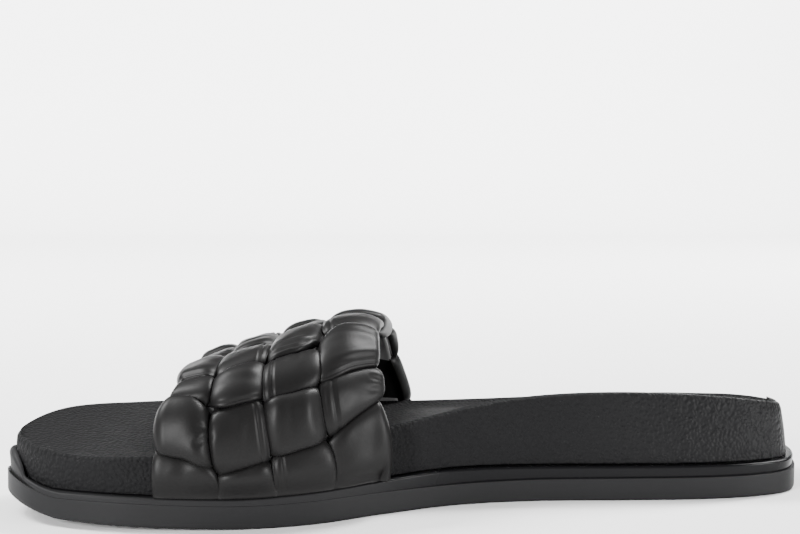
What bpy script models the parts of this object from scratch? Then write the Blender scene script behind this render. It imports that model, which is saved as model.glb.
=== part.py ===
"""Slide sandal for a right foot: rubber outsole, welt, wrapped contoured footbed and woven upper.

The shoe stands on z = 0 with its toe towards -X, its heel towards +X and the inner (medial)
side of the foot towards -Y. Everything is in metres. The pieces are modelled in shoe axes,
where "along" runs from the back of the heel to the tip of the toe, and the whole shoe is
moved at the end so that the origin lies under the middle of its bounding box.
"""

from collections import namedtuple
from math import pi

import bmesh
import bpy
import numpy as np

# Driving sizes
shoe_length = 0.2600
ball_width = 0.091
waist_width = 0.062
heel_width = 0.064

outsole_thickness = 0.0073
outsole_edge = 0.0009
toe_spring = 0.0030
tip_spring = 0.0033
heel_bevel = 0.0006
flat_end_share = 0.715
heel_flat_share = 0.05
toe_power = 1.3
tip_start_share = 0.945
tip_power = 1.4
heel_power = 1.4

welt_thickness = 0.0040
welt_ledge = 0.0023
welt_setback = 0.0006
welt_round = 0.0012
knee_share = 0.3
toe_lip = 0.0052
lip_width = 0.0019
lip_start_share = 0.984
lip_power = 0.6

rim_height = 0.0352
rim_round = 0.0019
bottom_round = 0.0004
rim_lean = 0.0016
side_foot_share = 0.10
side_middle_share = 0.55
side_middle_lean = 0.4
bed_row_power = 0.75
cup_depth = 0.0068
cup_ratio = 3.5
cup_power = 3.2

piece_gap = 0.0003

instep_height = 0.0545
upper_wall = 0.0018
strand_puff = 0.0042
puff_power = 3
upper_clearance = 0.0006
upper_crown_shift = 0.0040
upper_front_bow = 0.0042
upper_back_bow = 0.0055
upright_share = 0.85
shy_share = 0.78
edge_share = 0.45

groove_depth = 0.0016
groove_width = 0.0024
groove_pitch = 0.0090
groove_margin = 0.0075

# Mesh fineness, and the angles above which an edge stays sharp
stations = 40
across = 8
curve_steps = 24
arch_steps = 240
crisp_angle = 0.7
soft_angle = 0.9
weave_angle = 0.6

# The outline of the outsole. Each half width is a share of the size named in "of".
Outline = namedtuple("Outline", "along of medial lateral")
OUTLINE = (
    Outline(0.011, heel_width, 0.225, 0.210),
    Outline(0.042, heel_width, 0.415, 0.390),
    Outline(0.100, heel_width, 0.495, 0.480),
    Outline(0.172, heel_width, 0.502, 0.505),
    Outline(0.267, heel_width, 0.450, 0.525),
    Outline(0.382, waist_width, 0.392, 0.585),
    Outline(0.477, waist_width, 0.405, 0.650),
    Outline(0.573, ball_width, 0.358, 0.492),
    Outline(0.660, ball_width, 0.452, 0.520),
    Outline(0.740, ball_width, 0.478, 0.507),
    Outline(0.820, ball_width, 0.455, 0.450),
    Outline(0.890, ball_width, 0.405, 0.365),
    Outline(0.950, ball_width, 0.305, 0.240),
    Outline(0.985, ball_width, 0.190, 0.105),
)
toe_tip_share = -0.045

# Thickness of the two lower layers, as shares of outsole_thickness and welt_thickness.
Layer = namedtuple("Layer", "along outsole welt")
LAYERS = (
    Layer(0.00, 1.00, 0.84),
    Layer(0.35, 0.97, 0.90),
    Layer(0.50, 0.93, 1.02),
    Layer(0.62, 0.98, 0.62),
    Layer(0.76, 0.94, 0.42),
    Layer(0.90, 0.93, 0.34),
    Layer(0.96, 0.86, 0.32),
    Layer(1.00, 0.93, 0.32),
)

# Where the tread's cross grooves start and end.
Tread = namedtuple("Tread", "start end")
TREADS = (
    Tread(0.075, 0.30),
    Tread(0.56, 0.90),
)

# Height of the footbed's rim over the floor, as shares of rim_height, and the depth of the
# bed below the rim, as a share of cup_depth. "lean" is the share of rim_lean by which the
# footbed's side leans inwards up to its rim.
Rim = namedtuple("Rim", "along medial lateral depth lean")
RIM = (
    Rim(0.00, 0.748, 0.748, 0.60, 1.45),
    Rim(0.06, 0.852, 0.714, 0.90, 1.40),
    Rim(0.15, 0.948, 0.712, 1.00, 1.15),
    Rim(0.27, 0.988, 0.695, 0.75, 0.90),
    Rim(0.40, 0.930, 0.672, 0.40, 0.75),
    Rim(0.53, 0.775, 0.662, 0.26, 0.65),
    Rim(0.69, 0.640, 0.690, 0.24, 0.60),
    Rim(0.84, 0.590, 0.752, 0.26, 0.35),
    Rim(0.95, 0.595, 0.765, 0.24, 0.05),
    Rim(1.00, 0.675, 0.675, 0.20, 0.00),
)

# The rim's round edge: how far each of its rings drops below the rim and draws in from the
# side, as shares of rim_round.
Turn = namedtuple("Turn", "drop draw")
TURNS = (
    Turn(1.00, 0.00),
    Turn(0.45, 0.18),
    Turn(0.12, 0.55),
    Turn(0.00, 1.00),
)

# The upper's edges and crown. "across" runs from its front edge, 0, to its back edge, 1.
# The feet are shares of shoe_length, the crown is the wall's inner height at the middle as a
# share of instep_height, and "square" is the exponent of the arch.
Band = namedtuple("Band", "across medial lateral crown square")
BAND = (
    Band(0.00, 0.838, 0.754, 0.690, 3.2),
    Band(0.25, 0.772, 0.689, 0.798, 3.0),
    Band(0.50, 0.704, 0.622, 0.875, 2.8),
    Band(0.75, 0.636, 0.553, 0.955, 2.6),
    Band(1.00, 0.572, 0.484, 1.000, 2.5),
)

# The weave. Four strands run over the foot and eight run lengthwise, over and under them. Each
# row is a strand over the foot: its front and back edge as shares of the band's width, then the
# places, as shares of its length from the medial foot, where one crossing ends and the next one
# starts. A crossing's section is read at cell_shares. The shyer strand of a crossing has
# shy_share of the puff, and a strand keeps edge_share of its fall at the band's own edges.
Strand = namedtuple("Strand", "front back one two three four five six seven")
STRANDS = (
    Strand(0.000, 0.226, 0.096, 0.200, 0.275, 0.420, 0.570, 0.715, 0.860),
    Strand(0.226, 0.454, 0.055, 0.188, 0.275, 0.405, 0.550, 0.700, 0.850),
    Strand(0.454, 0.702, 0.098, 0.198, 0.298, 0.430, 0.575, 0.720, 0.865),
    Strand(0.702, 1.000, 0.146, 0.246, 0.370, 0.520, 0.650, 0.780, 0.905),
)
cell_shares = (0.0, 0.12, 0.36, 0.64, 0.88)

# Each piece's colour and sheen.
Finish = namedtuple("Finish", "colour roughness coat")
RUBBER = Finish((0.012, 0.012, 0.013), 0.55, 0.0)
GLOSS = Finish((0.008, 0.008, 0.009), 0.30, 0.2)
COVER = Finish((0.016, 0.016, 0.017), 0.50, 0.0)
LEATHER = Finish((0.014, 0.013, 0.013), 0.38, 0.1)


def column(rows, name):
    """One named column of a table as an array."""
    return np.array([getattr(row, name) for row in rows])


def smooth_read(rows, key, name, where):
    """A table's column read at any place with a smooth curve through its rows."""
    xs = column(rows, key)
    ys = column(rows, name)
    slopes = np.gradient(ys, xs)
    where = np.clip(np.asarray(where, float), xs[0], xs[-1])
    index = np.clip(np.searchsorted(xs, where) - 1, 0, len(xs) - 2)
    span = xs[index + 1] - xs[index]
    t = (where - xs[index]) / span
    rise = ys[index] * (2 * t**3 - 3 * t**2 + 1) + ys[index + 1] * (3 * t**2 - 2 * t**3)
    bend = slopes[index] * (t**3 - 2 * t**2 + t) + slopes[index + 1] * (t**3 - t**2)
    return rise + bend * span


def closed_spline(points, steps):
    """A closed Catmull-Rom curve through points, with this many steps on each span."""
    p = np.asarray(points)
    before, after, beyond = np.roll(p, 1, 0), np.roll(p, -1, 0), np.roll(p, -2, 0)
    runs = []
    for i in range(len(p)):
        knots = np.cumsum(
            [0.0]
            + [
                np.linalg.norm(b - a) ** 0.5
                for a, b in ((before[i], p[i]), (p[i], after[i]), (after[i], beyond[i]))
            ]
        )
        t = np.linspace(knots[1], knots[2], steps, endpoint=False)[:, None]

        def blend(a, b, first, last):
            return a * (last - t) / (last - first) + b * (t - first) / (last - first)

        one = blend(before[i], p[i], knots[0], knots[1])
        two = blend(p[i], after[i], knots[1], knots[2])
        three = blend(after[i], beyond[i], knots[2], knots[3])
        low = blend(one, two, knots[0], knots[2])
        high = blend(two, three, knots[1], knots[3])
        runs.append(blend(low, high, knots[1], knots[2]))
    return np.concatenate(runs)


def outline_curve():
    """The outsole's outline in shoe axes, from the heel's back along the medial side."""
    along = column(OUTLINE, "along") * shoe_length
    medial = -column(OUTLINE, "medial") * column(OUTLINE, "of")
    lateral = column(OUTLINE, "lateral") * column(OUTLINE, "of")
    points = [(0.0, 0.0)]
    points += list(zip(along, medial))
    points.append((shoe_length, toe_tip_share * ball_width))
    points += list(zip(along[::-1], lateral[::-1]))
    return closed_spline(points, curve_steps)


CURVE = outline_curve()
HEEL_POINT = 0
TOE_POINT = int(np.argmax(CURVE[:, 0]))


def side_at(along, lateral):
    """The outline's signed half width at a place along the shoe, on one side."""
    if lateral:
        run = np.concatenate([CURVE[TOE_POINT:], CURVE[:1]])[::-1]
    else:
        run = CURVE[HEEL_POINT : TOE_POINT + 1]
    return np.interp(along, run[:, 0], run[:, 1])


def base_loop():
    """Outline points: the medial side from heel to toe, then the lateral side back."""
    steps = (1 - np.cos(np.linspace(0, pi, stations + 1))) / 2
    longest = CURVE[TOE_POINT, 0]
    along = CURVE[HEEL_POINT, 0] + steps * (longest - CURVE[HEEL_POINT, 0])
    medial = np.stack([along, side_at(along, False)], 1)
    lateral = np.stack([along, side_at(along, True)], 1)[-2:0:-1]
    return np.concatenate([medial, lateral])


def inset(loop, distance):
    """The loop moved inwards by a distance, along its own normals."""
    ahead = np.roll(loop, -1, 0) - loop
    behind = loop - np.roll(loop, 1, 0)
    ahead /= np.linalg.norm(ahead, axis=1)[:, None]
    behind /= np.linalg.norm(behind, axis=1)[:, None]
    run = ahead + behind
    run /= np.linalg.norm(run, axis=1)[:, None]
    inward = np.stack([-run[:, 1], run[:, 0]], 1)
    if np.dot(inward[stations // 2], (0, 1)) < 0:
        inward = -inward
    return loop + inward * np.reshape(distance, (-1, 1))


def ground(along):
    """Height of the sole's underside: flat, with a sprung toe and a small bevel at the heel."""
    share = np.asarray(along) / shoe_length
    toe = np.clip((share - flat_end_share) / (1 - flat_end_share), 0, 1)
    tip = np.clip((share - tip_start_share) / (1 - tip_start_share), 0, 1)
    heel = np.clip((heel_flat_share - share) / heel_flat_share, 0, 1)
    toe_rise = toe_spring * toe**toe_power + tip_spring * tip**tip_power
    return toe_rise + heel_bevel * heel**heel_power


def sole_top(along):
    """Height of the outsole's upper face."""
    share = np.asarray(along) / shoe_length
    return ground(along) + outsole_thickness * smooth_read(LAYERS, "along", "outsole", share)


def ledge_top(along):
    """Height of the welt's upper face, where the footbed and the upper stand."""
    share = np.asarray(along) / shoe_length
    layer = welt_thickness * smooth_read(LAYERS, "along", "welt", share)
    return sole_top(along) + piece_gap + layer


def lip_rise(along):
    """How far the welt's outer edge rises over its ledge, which it does at the toe tip only."""
    share = np.asarray(along) / shoe_length
    return toe_lip * np.clip((share - lip_start_share) / (1 - lip_start_share), 0, 1) ** lip_power


def lip_top(along):
    """Height of the welt's outer edge."""
    return ledge_top(along) + lip_rise(along)


def rim_at(along, lateral):
    """Height of the footbed's rim on one side, eased to one height at heel and toe."""
    name = "lateral" if lateral else "medial"
    return rim_height * smooth_read(RIM, "along", name, along / shoe_length)


def bed_height(along, share):
    """Height of the bed. The share runs from -1 on the medial rim to 1 on the lateral rim."""
    medial = rim_at(along, False)
    lateral = rim_at(along, True)
    level = medial + (lateral - medial) * (share + 1) / 2
    ends = np.minimum(along, shoe_length - along) / (cup_depth * cup_ratio)
    ease = 1 - (1 - np.clip(ends, 0, 1)) ** 2
    depth = cup_depth * smooth_read(RIM, "along", "depth", along / shoe_length)
    return level - depth * ease * (1 - np.abs(share) ** cup_power)


def new_object(name, finish, points, faces, smooth_angle):
    """A mesh object with its own Principled material, placed at the origin."""
    mesh = bpy.data.meshes.new(name)
    mesh.from_pydata([tuple(map(float, p)) for p in points], [], faces)
    work = bmesh.new()
    work.from_mesh(mesh)
    bmesh.ops.recalc_face_normals(work, faces=work.faces)
    work.to_mesh(mesh)
    work.free()
    mesh.shade_smooth()
    mesh.set_sharp_from_angle(angle=smooth_angle)
    made = bpy.data.objects.new(name, mesh)
    bpy.context.scene.collection.objects.link(made)
    material = bpy.data.materials.new(name)
    material.use_nodes = True
    shader = material.node_tree.nodes["Principled BSDF"]
    shader.inputs["Base Color"].default_value = (*finish.colour, 1)
    shader.inputs["Roughness"].default_value = finish.roughness
    shader.inputs["Metallic"].default_value = 0.0
    shader.inputs["Coat Weight"].default_value = finish.coat
    mesh.materials.append(material)
    return made


def band_faces(first, second, count):
    """Quads between two closed rings that start at these vertex numbers."""
    return [
        (first + i, first + (i + 1) % count, second + (i + 1) % count, second + i)
        for i in range(count)
    ]


def cap_faces(start):
    """Faces that fill a ring by joining its medial and lateral points station by station."""
    count = 2 * stations
    faces = [(start, start + 1, start + count - 1)]
    for i in range(1, stations - 1):
        faces.append(
            (start + i, start + i + 1, start + count - i - 1, start + count - i)
        )
    faces.append((start + stations - 1, start + stations, start + stations + 1))
    return faces


def plate(rings):
    """Points and faces of a closed plate that runs through these rings, bottom to top."""
    count = 2 * stations
    points = np.concatenate(rings)
    faces = cap_faces(0)
    for level in range(len(rings) - 1):
        faces += band_faces(level * count, (level + 1) * count, count)
    faces += cap_faces((len(rings) - 1) * count)
    return points, faces


def ring(loop, distance, height, lift=0.0):
    """An inset copy of the loop at the height that a function gives for each point."""
    flat = inset(loop, distance)
    return np.column_stack([flat, height(flat[:, 0]) + lift])


def make_outsole(loop):
    """The rubber outsole, with chamfered edges and cross grooves under ball and heel."""
    rings = [
        ring(loop, outsole_edge, ground),
        ring(loop, 0.0, ground, outsole_edge),
        ring(loop, 0.0, sole_top, -outsole_edge / 2),
        ring(loop, outsole_edge / 2, sole_top),
    ]
    points, faces = plate(rings)
    outsole = new_object("outsole", RUBBER, points, faces, crisp_angle)
    cutter = make_tread_cutter()
    cut = outsole.modifiers.new("Tread", "BOOLEAN")
    cut.object = cutter
    cut.operation = "DIFFERENCE"
    cut.solver = "EXACT"
    return outsole


def make_tread_cutter():
    """Bars that cut the tread's cross grooves, kept clear of the outsole's edge."""
    work = bmesh.new()
    for start, end in TREADS:
        count = int((end - start) * shoe_length / groove_pitch)
        for i in range(count + 1):
            along = start * shoe_length + i * groove_pitch
            low = side_at(along, False) + groove_margin
            high = side_at(along, True) - groove_margin
            floor = float(ground(along))
            box = bmesh.ops.create_cube(work, size=1.0)
            for vertex in box["verts"]:
                vertex.co.x = along + vertex.co.x * groove_width
                vertex.co.y = (low + high) / 2 + vertex.co.y * (high - low)
                vertex.co.z = floor + vertex.co.z * 2 * groove_depth
    mesh = bpy.data.meshes.new("tread_cutter")
    work.to_mesh(mesh)
    work.free()
    cutter = bpy.data.objects.new("tread_cutter", mesh)
    cutter.hide_render = True
    cutter.display_type = "WIRE"
    bpy.context.scene.collection.objects.link(cutter)
    return cutter


def make_welt(loop):
    """The welt between outsole and footbed, with a rounded edge."""
    base = welt_setback
    knee = welt_round * knee_share
    rings = [
        ring(loop, base + welt_round, sole_top, piece_gap),
        ring(loop, base + knee, sole_top, piece_gap + knee),
        ring(loop, base, sole_top, piece_gap + welt_round),
        ring(loop, base, lip_top, -welt_round),
        ring(loop, base + knee, lip_top, -knee),
        ring(loop, base + welt_round, lip_top),
        ring(loop, base + lip_width, ledge_top),
    ]
    points, faces = plate(rings)
    return new_object("welt", GLOSS, points, faces, soft_angle)


def footbed_ring(loop, base, height_share, draw, tuck=0.0):
    """A ring round the footbed's side at a share of the way from the ledge to its rim."""
    lean = smooth_read(RIM, "along", "lean", loop[:, 0] / shoe_length) * rim_lean
    flat = inset(loop, base + lean * draw + tuck)
    low = ledge_top(flat[:, 0]) + piece_gap
    high = rim_of(flat)
    return np.column_stack([flat, low + (high - low) * height_share])


def rim_of(flat):
    """Height of the rim at each point of a loop, blended across heel and toe."""
    along = np.clip(flat[:, 0], 0, shoe_length)
    low = side_at(along, False)
    high = side_at(along, True)
    share = np.clip((flat[:, 1] - low) / np.maximum(high - low, 1e-6), 0, 1)
    return rim_at(along, False) * (1 - share) + rim_at(along, True) * share


def make_footbed(loop):
    """The wrapped footbed: a solid with leaning sides, a round rim and a dished bed."""
    base = welt_setback + welt_ledge
    count = 2 * stations
    rings = [
        footbed_ring(loop, base, 0.00, 0.0, bottom_round),
        footbed_ring(loop, base, side_foot_share, 0.0),
        footbed_ring(loop, base, side_middle_share, side_middle_lean),
    ]
    for turn in TURNS:
        turned = footbed_ring(loop, base, 1.0, 1.0, rim_round * turn.draw)
        turned[:, 2] -= rim_round * turn.drop
        rings.append(turned)
    edge = rings[-1]
    points = list(np.concatenate(rings))
    faces = cap_faces(0)
    for level in range(len(rings) - 1):
        faces += band_faces(level * count, (level + 1) * count, count)
    rim_start = (len(rings) - 1) * count
    shares = np.linspace(-1, 1, across + 1)[1:-1]
    shares = np.sign(shares) * np.abs(shares) ** bed_row_power
    rows = {}
    for i in range(1, stations):
        left = edge[i]
        right = edge[count - i]
        for k, share in enumerate(shares):
            along = left[0] + (right[0] - left[0]) * (share + 1) / 2
            side = left[1] + (right[1] - left[1]) * (share + 1) / 2
            rows[i, k] = len(points)
            points.append((along, side, float(bed_height(along, share))))
    last = len(shares) - 1
    for i in range(1, stations - 1):
        faces.append((rim_start + i, rim_start + i + 1, rows[i + 1, 0], rows[i, 0]))
        for k in range(last):
            faces.append(
                (rows[i, k], rows[i + 1, k], rows[i + 1, k + 1], rows[i, k + 1])
            )
        faces.append(
            (
                rows[i, last],
                rows[i + 1, last],
                rim_start + count - i - 1,
                rim_start + count - i,
            )
        )
    for end, near in ((0, 1), (stations, stations - 1)):
        fan = [rim_start + near] + [rows[near, k] for k in range(last + 1)]
        fan.append(rim_start + count - near)
        for a, b in zip(fan, fan[1:]):
            faces.append((rim_start + end, a, b))
    return new_object("footbed", COVER, np.array(points), faces, soft_angle)


def foot_post(along, lateral):
    """The foot of the arch on one side: its lowest point and the top of its upright part."""
    inward = -1 if lateral else 1
    side = side_at(along, lateral) + inward * (welt_setback + welt_ledge - upper_clearance)
    low = ledge_top(along) + piece_gap
    rise = upright_share * (rim_at(along, lateral) - low)
    lean = rim_lean * smooth_read(RIM, "along", "lean", along / shoe_length)
    top = (along, side + inward * lean * upright_share, low + rise)
    return np.array([(along, side, low), top])


def arch_line(band_share):
    """Places of the arch's inner face, foot to foot, at one share of the band's width."""
    medial_along = float(shoe_length * smooth_read(BAND, "across", "medial", band_share))
    lateral_along = float(shoe_length * smooth_read(BAND, "across", "lateral", band_share))
    crown = instep_height * smooth_read(BAND, "across", "crown", band_share)
    power = 2 / smooth_read(BAND, "across", "square", band_share)
    medial = foot_post(medial_along, False)
    lateral = foot_post(lateral_along, True)
    theta = np.linspace(0, pi, arch_steps + 1)
    sweep = (1 - np.sign(np.cos(theta)) * np.abs(np.cos(theta)) ** power) / 2
    rise = np.abs(np.sin(theta)) ** power
    arch = medial[1] + (lateral[1] - medial[1]) * sweep[:, None]
    arch[:, 0] -= upper_front_bow * (1 - band_share) * rise**2
    arch[:, 0] += upper_back_bow * band_share * rise
    arch[:, 1] -= upper_crown_shift * rise**2
    arch[:, 2] += (crown - arch[:, 2]) * rise
    return np.concatenate([medial[:1], arch, lateral[:1]])


def strand_marks(strand):
    """The ends of a strand's crossings as shares of its length, foot to foot."""
    return np.array([0.0, *strand[2:], 1.0])


def upper_grid():
    """Inner points of the woven wall and the share of the puff at each of them."""
    cells = np.array(cell_shares)
    last = len(STRANDS) - 1
    lines = [
        (strand, index, cell) for index, strand in enumerate(STRANDS) for cell in cells
    ]
    lines.append((STRANDS[last], last, 1.0))
    inner, relief = [], []
    for strand, index, cell in lines:
        band_share = strand.front + (strand.back - strand.front) * cell
        line = arch_line(band_share)
        steps = np.linalg.norm(np.diff(line, axis=0), axis=1)
        length = np.concatenate([[0.0], np.cumsum(steps)])
        marks = strand_marks(strand)
        if cell == 0.0 and index > 0:
            marks = (marks + strand_marks(STRANDS[index - 1])) / 2
        side = 2 * cell - 1
        fall = abs(side) ** puff_power
        if (index == 0 and side < 0) or (index == last and side > 0):
            fall *= edge_share
        places, heights = [], []
        for row in range(len(marks) - 1):
            puff = 1.0 if (row + index) % 2 else shy_share
            places += list(marks[row] + (marks[row + 1] - marks[row]) * cells)
            heights += list(puff * (1 - np.abs(2 * cells - 1) ** puff_power) * (1 - fall))
        places = np.array([*places, 1.0]) * length[-1]
        inner.append(
            np.stack([np.interp(places, length, line[:, k]) for k in range(3)], 1)
        )
        relief.append(np.array([*heights, 0.0]))
    return np.array(inner), np.array(relief)


def surface_normals(grid):
    """Unit normals of a grid of points, facing away from the foot."""
    along = np.gradient(grid, axis=0)
    over = np.gradient(grid, axis=1)
    normal = np.cross(along, over)
    normal /= np.linalg.norm(normal, axis=2)[:, :, None]
    middle = normal[grid.shape[0] // 2, grid.shape[1] // 2]
    return normal if middle[2] > 0 else -normal


def make_upper():
    """The woven upper: one arched wall from ledge to ledge with its strands raised."""
    inner, relief = upper_grid()
    normal = surface_normals(inner)
    outer = inner + normal * (upper_wall + strand_puff * relief)[:, :, None]
    for end in (0, -1):
        outer[:, end, 2] = inner[:, end, 2]
    bands, places = inner.shape[:2]
    points = np.concatenate([inner.reshape(-1, 3), outer.reshape(-1, 3)])
    shift = bands * places

    def number(i, j, out):
        return i * places + j + (shift if out else 0)

    faces = []
    for i in range(bands - 1):
        for j in range(places - 1):
            for out in (False, True):
                quad = [
                    number(i, j, out),
                    number(i + 1, j, out),
                    number(i + 1, j + 1, out),
                    number(i, j + 1, out),
                ]
                faces.append(quad if out else quad[::-1])
    for i in range(bands - 1):
        for j in (0, places - 1):
            faces.append(
                (number(i, j, 0), number(i + 1, j, 0), number(i + 1, j, 1), number(i, j, 1))
            )
    for j in range(places - 1):
        for i in (0, bands - 1):
            faces.append(
                (number(i, j, 0), number(i, j + 1, 0), number(i, j + 1, 1), number(i, j, 1))
            )
    return new_object("upper", LEATHER, points, faces, weave_angle)


def place_on_floor(made):
    """Turns shoe axes into the part's own: toe to -X, and the origin under the middle."""
    corners = np.array([v.co for obj in made for v in obj.data.vertices])
    low = corners.min(0)
    high = corners.max(0)
    middle = (low + high) / 2
    for obj in [*made, bpy.data.objects["tread_cutter"]]:
        for vertex in obj.data.vertices:
            vertex.co.x = middle[0] - vertex.co.x
            vertex.co.y = vertex.co.y - middle[1]
            vertex.co.z = vertex.co.z - low[2]
        obj.data.flip_normals()


def main():
    for obj in list(bpy.data.objects):
        bpy.data.objects.remove(obj)
    loop = base_loop()
    made = [make_outsole(loop), make_welt(loop), make_footbed(loop), make_upper()]
    place_on_floor(made)


main()
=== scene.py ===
"""Looks of the black woven slide sandal: sole, welt, wrapped footbed, padded woven band, stage.

Sizes are in metres. Shoe axes run from the back of the heel ("along") and from the inner,
medial side to the outer, lateral side; to_part turns them into the part's own frame, where
the toe is at -X, the heel at +X, the medial side at -Y and the floor at z = 0.
"""

from collections import namedtuple
from math import cos, pi, radians, sin

import bmesh
import bpy
import numpy as np
from bpy.props import FloatProperty, FloatVectorProperty, PointerProperty
from mathutils import Matrix, Vector


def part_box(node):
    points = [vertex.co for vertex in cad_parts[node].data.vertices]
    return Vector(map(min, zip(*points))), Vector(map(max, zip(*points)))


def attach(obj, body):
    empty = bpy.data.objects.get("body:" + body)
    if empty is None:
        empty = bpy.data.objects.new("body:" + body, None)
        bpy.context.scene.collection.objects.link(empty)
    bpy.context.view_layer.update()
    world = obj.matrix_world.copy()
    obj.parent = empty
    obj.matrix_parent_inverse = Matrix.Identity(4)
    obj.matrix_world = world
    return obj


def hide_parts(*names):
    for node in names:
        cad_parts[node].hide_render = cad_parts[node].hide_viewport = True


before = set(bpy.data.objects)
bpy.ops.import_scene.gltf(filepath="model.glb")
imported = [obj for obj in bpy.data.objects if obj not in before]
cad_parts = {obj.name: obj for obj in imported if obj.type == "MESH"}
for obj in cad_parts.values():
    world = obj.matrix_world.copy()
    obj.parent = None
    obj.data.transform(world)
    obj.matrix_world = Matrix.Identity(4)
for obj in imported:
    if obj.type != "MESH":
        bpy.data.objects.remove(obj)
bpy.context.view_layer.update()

bl_info = {
    "name": "Woven slide sandal",
    "version": (1, 0, 0),
    "blender": (4, 5, 0),
    "location": "3D View > Sidebar > Slide",
    "description": "Builds the looks of a woven slide sandal around its packed solids",
    "category": "Object",
}

# Driving sizes, as in the part's source
shoe_length = 0.2600
ball_width = 0.091
waist_width = 0.062
heel_width = 0.064
outsole_thickness = 0.0073
toe_spring = 0.0030
tip_spring = 0.0033
heel_bevel = 0.0006
flat_end_share = 0.715
heel_flat_share = 0.05
toe_power = 1.3
tip_start_share = 0.945
tip_power = 1.4
heel_power = 1.4
welt_thickness = 0.0040
welt_ledge = 0.0023
welt_setback = 0.0006
toe_lip = 0.0052
lip_start_share = 0.984
lip_power = 0.6
rim_height = 0.0352
rim_lean = 0.0016
cup_depth = 0.0068
cup_ratio = 3.5
cup_power = 3.2
piece_gap = 0.0003
instep_height = 0.0545
upper_clearance = 0.0006
upper_crown_shift = 0.0040
upper_front_bow = 0.0042
upper_back_bow = 0.0055
upright_share = 0.85

# Sizes of the looks alone: the band's strands
back_fall = 0.0042  # how far the band's back edge bends down at the crown
hidden_length = 0.135  # how far a crossing goes on below the ledge, as a share of the length
foot_height = 0.0040  # height over the ledge within which a strand loses its swell
foot_loss = 0.90
section_flatness = 5.0
section_roundness = 2.3
section_wide = 3.6
lobe_power = 3.2
lobe_round = 0.55
corner_loss = 0.40
over_width = 0.92  # width of a strand between its marks, and what its swell adds
length_width = 0.93
swell_width = 0.14
end_pinch = 0.060
under_width = 0.94
seam_line_depth = 0.00062
seam_flange_depth = 0.00022
wrinkle_height = 0.00024
wrinkle_size = 0.010
ripple_height = 0.00008
ripple_size = 0.004

# Footbed, welt and outsole
pleat_pitch = 0.0023
pleat_depth = 0.00050
lip_width = 0.0019
lip_roll = 0.22  # radius of the lip's outer edge, as a share of its height
flush_start_share = 0.45  # from here on the welt's edge comes out to the outsole's
flush_end_share = 0.60
crisp_angle = 0.7
groove_depth = 0.0016
groove_width = 0.0024
groove_pitch = 0.0090
groove_margin = 0.0075


def table(fields, *rows):
    """Rows of values with named fields."""
    kind = namedtuple("Row", fields)
    return [kind(*row) for row in rows]


OUTLINE = table(
    "along of medial lateral",
    (0.011, heel_width, 0.225, 0.210),
    (0.042, heel_width, 0.415, 0.390),
    (0.100, heel_width, 0.495, 0.480),
    (0.172, heel_width, 0.502, 0.505),
    (0.267, heel_width, 0.450, 0.525),
    (0.382, waist_width, 0.392, 0.585),
    (0.477, waist_width, 0.405, 0.650),
    (0.573, ball_width, 0.358, 0.492),
    (0.660, ball_width, 0.452, 0.520),
    (0.740, ball_width, 0.478, 0.507),
    (0.820, ball_width, 0.455, 0.450),
    (0.890, ball_width, 0.405, 0.365),
    (0.950, ball_width, 0.305, 0.240),
    (0.985, ball_width, 0.190, 0.105),
)
toe_tip_share = -0.045

LAYERS = table(
    "along outsole welt",
    (0.00, 1.00, 0.84),
    (0.35, 0.97, 0.90),
    (0.50, 0.93, 1.02),
    (0.62, 0.98, 0.62),
    (0.76, 0.94, 0.42),
    (0.90, 0.93, 0.34),
    (0.96, 0.86, 0.32),
    (1.00, 0.93, 0.32),
)

RIM = table(
    "along medial lateral depth lean",
    (0.00, 0.748, 0.748, 0.60, 1.45),
    (0.06, 0.852, 0.714, 0.90, 1.40),
    (0.15, 0.948, 0.712, 1.00, 1.15),
    (0.27, 0.988, 0.695, 0.75, 0.90),
    (0.40, 0.930, 0.672, 0.40, 0.75),
    (0.53, 0.775, 0.662, 0.26, 0.65),
    (0.69, 0.640, 0.690, 0.24, 0.60),
    (0.84, 0.590, 0.752, 0.26, 0.35),
    (0.95, 0.595, 0.765, 0.24, 0.05),
    (1.00, 0.675, 0.675, 0.20, 0.00),
)

BAND = table(
    "across medial lateral crown square",
    (0.00, 0.838, 0.754, 0.690, 3.2),
    (0.25, 0.772, 0.689, 0.798, 3.0),
    (0.50, 0.704, 0.622, 0.875, 2.8),
    (0.75, 0.636, 0.553, 0.955, 2.6),
    (1.00, 0.572, 0.484, 1.000, 2.5),
)

# The weave. Each row is a strand that runs over the foot. "middle" and "half" are its place and
# half width as shares of the band's width. The marks one to seven are the places, as shares of
# its length from the medial foot, where one crossing ends and the next one starts, and the
# slants say how much the first three marks rise per unit of the band's width. "seam" is the
# side on which the strand's flat seam lies: -1 at its front edge, 1 at its back edge.
OVERS = table(
    "middle half one two three four five six seven slant_one slant_two slant_three seam",
    (0.113, 0.113, 0.096, 0.200, 0.270, 0.420, 0.570, 0.715, 0.860, -0.12, -0.08, -0.06, 0),
    (0.340, 0.114, 0.055, 0.188, 0.270, 0.405, 0.550, 0.700, 0.850, 0.12, 0.10, 0.12, 1),
    (0.578, 0.124, 0.098, 0.198, 0.298, 0.430, 0.575, 0.720, 0.865, 0.11, 0.10, 0.07, -1),
    (0.851, 0.149, 0.146, 0.246, 0.370, 0.520, 0.650, 0.780, 0.905, 0.26, 0.12, -0.05, -1),
)

# How far the borders between those strands lie towards the back, as a share of the band's
# width, at places from the medial foot to the lateral one.
DRIFTS = table(
    "place shift",
    (0.00, 0.040),
    (0.09, 0.012),
    (0.20, -0.016),
    (0.30, -0.014),
    (0.45, 0.000),
    (0.80, -0.010),
    (1.00, 0.030),
)

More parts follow.
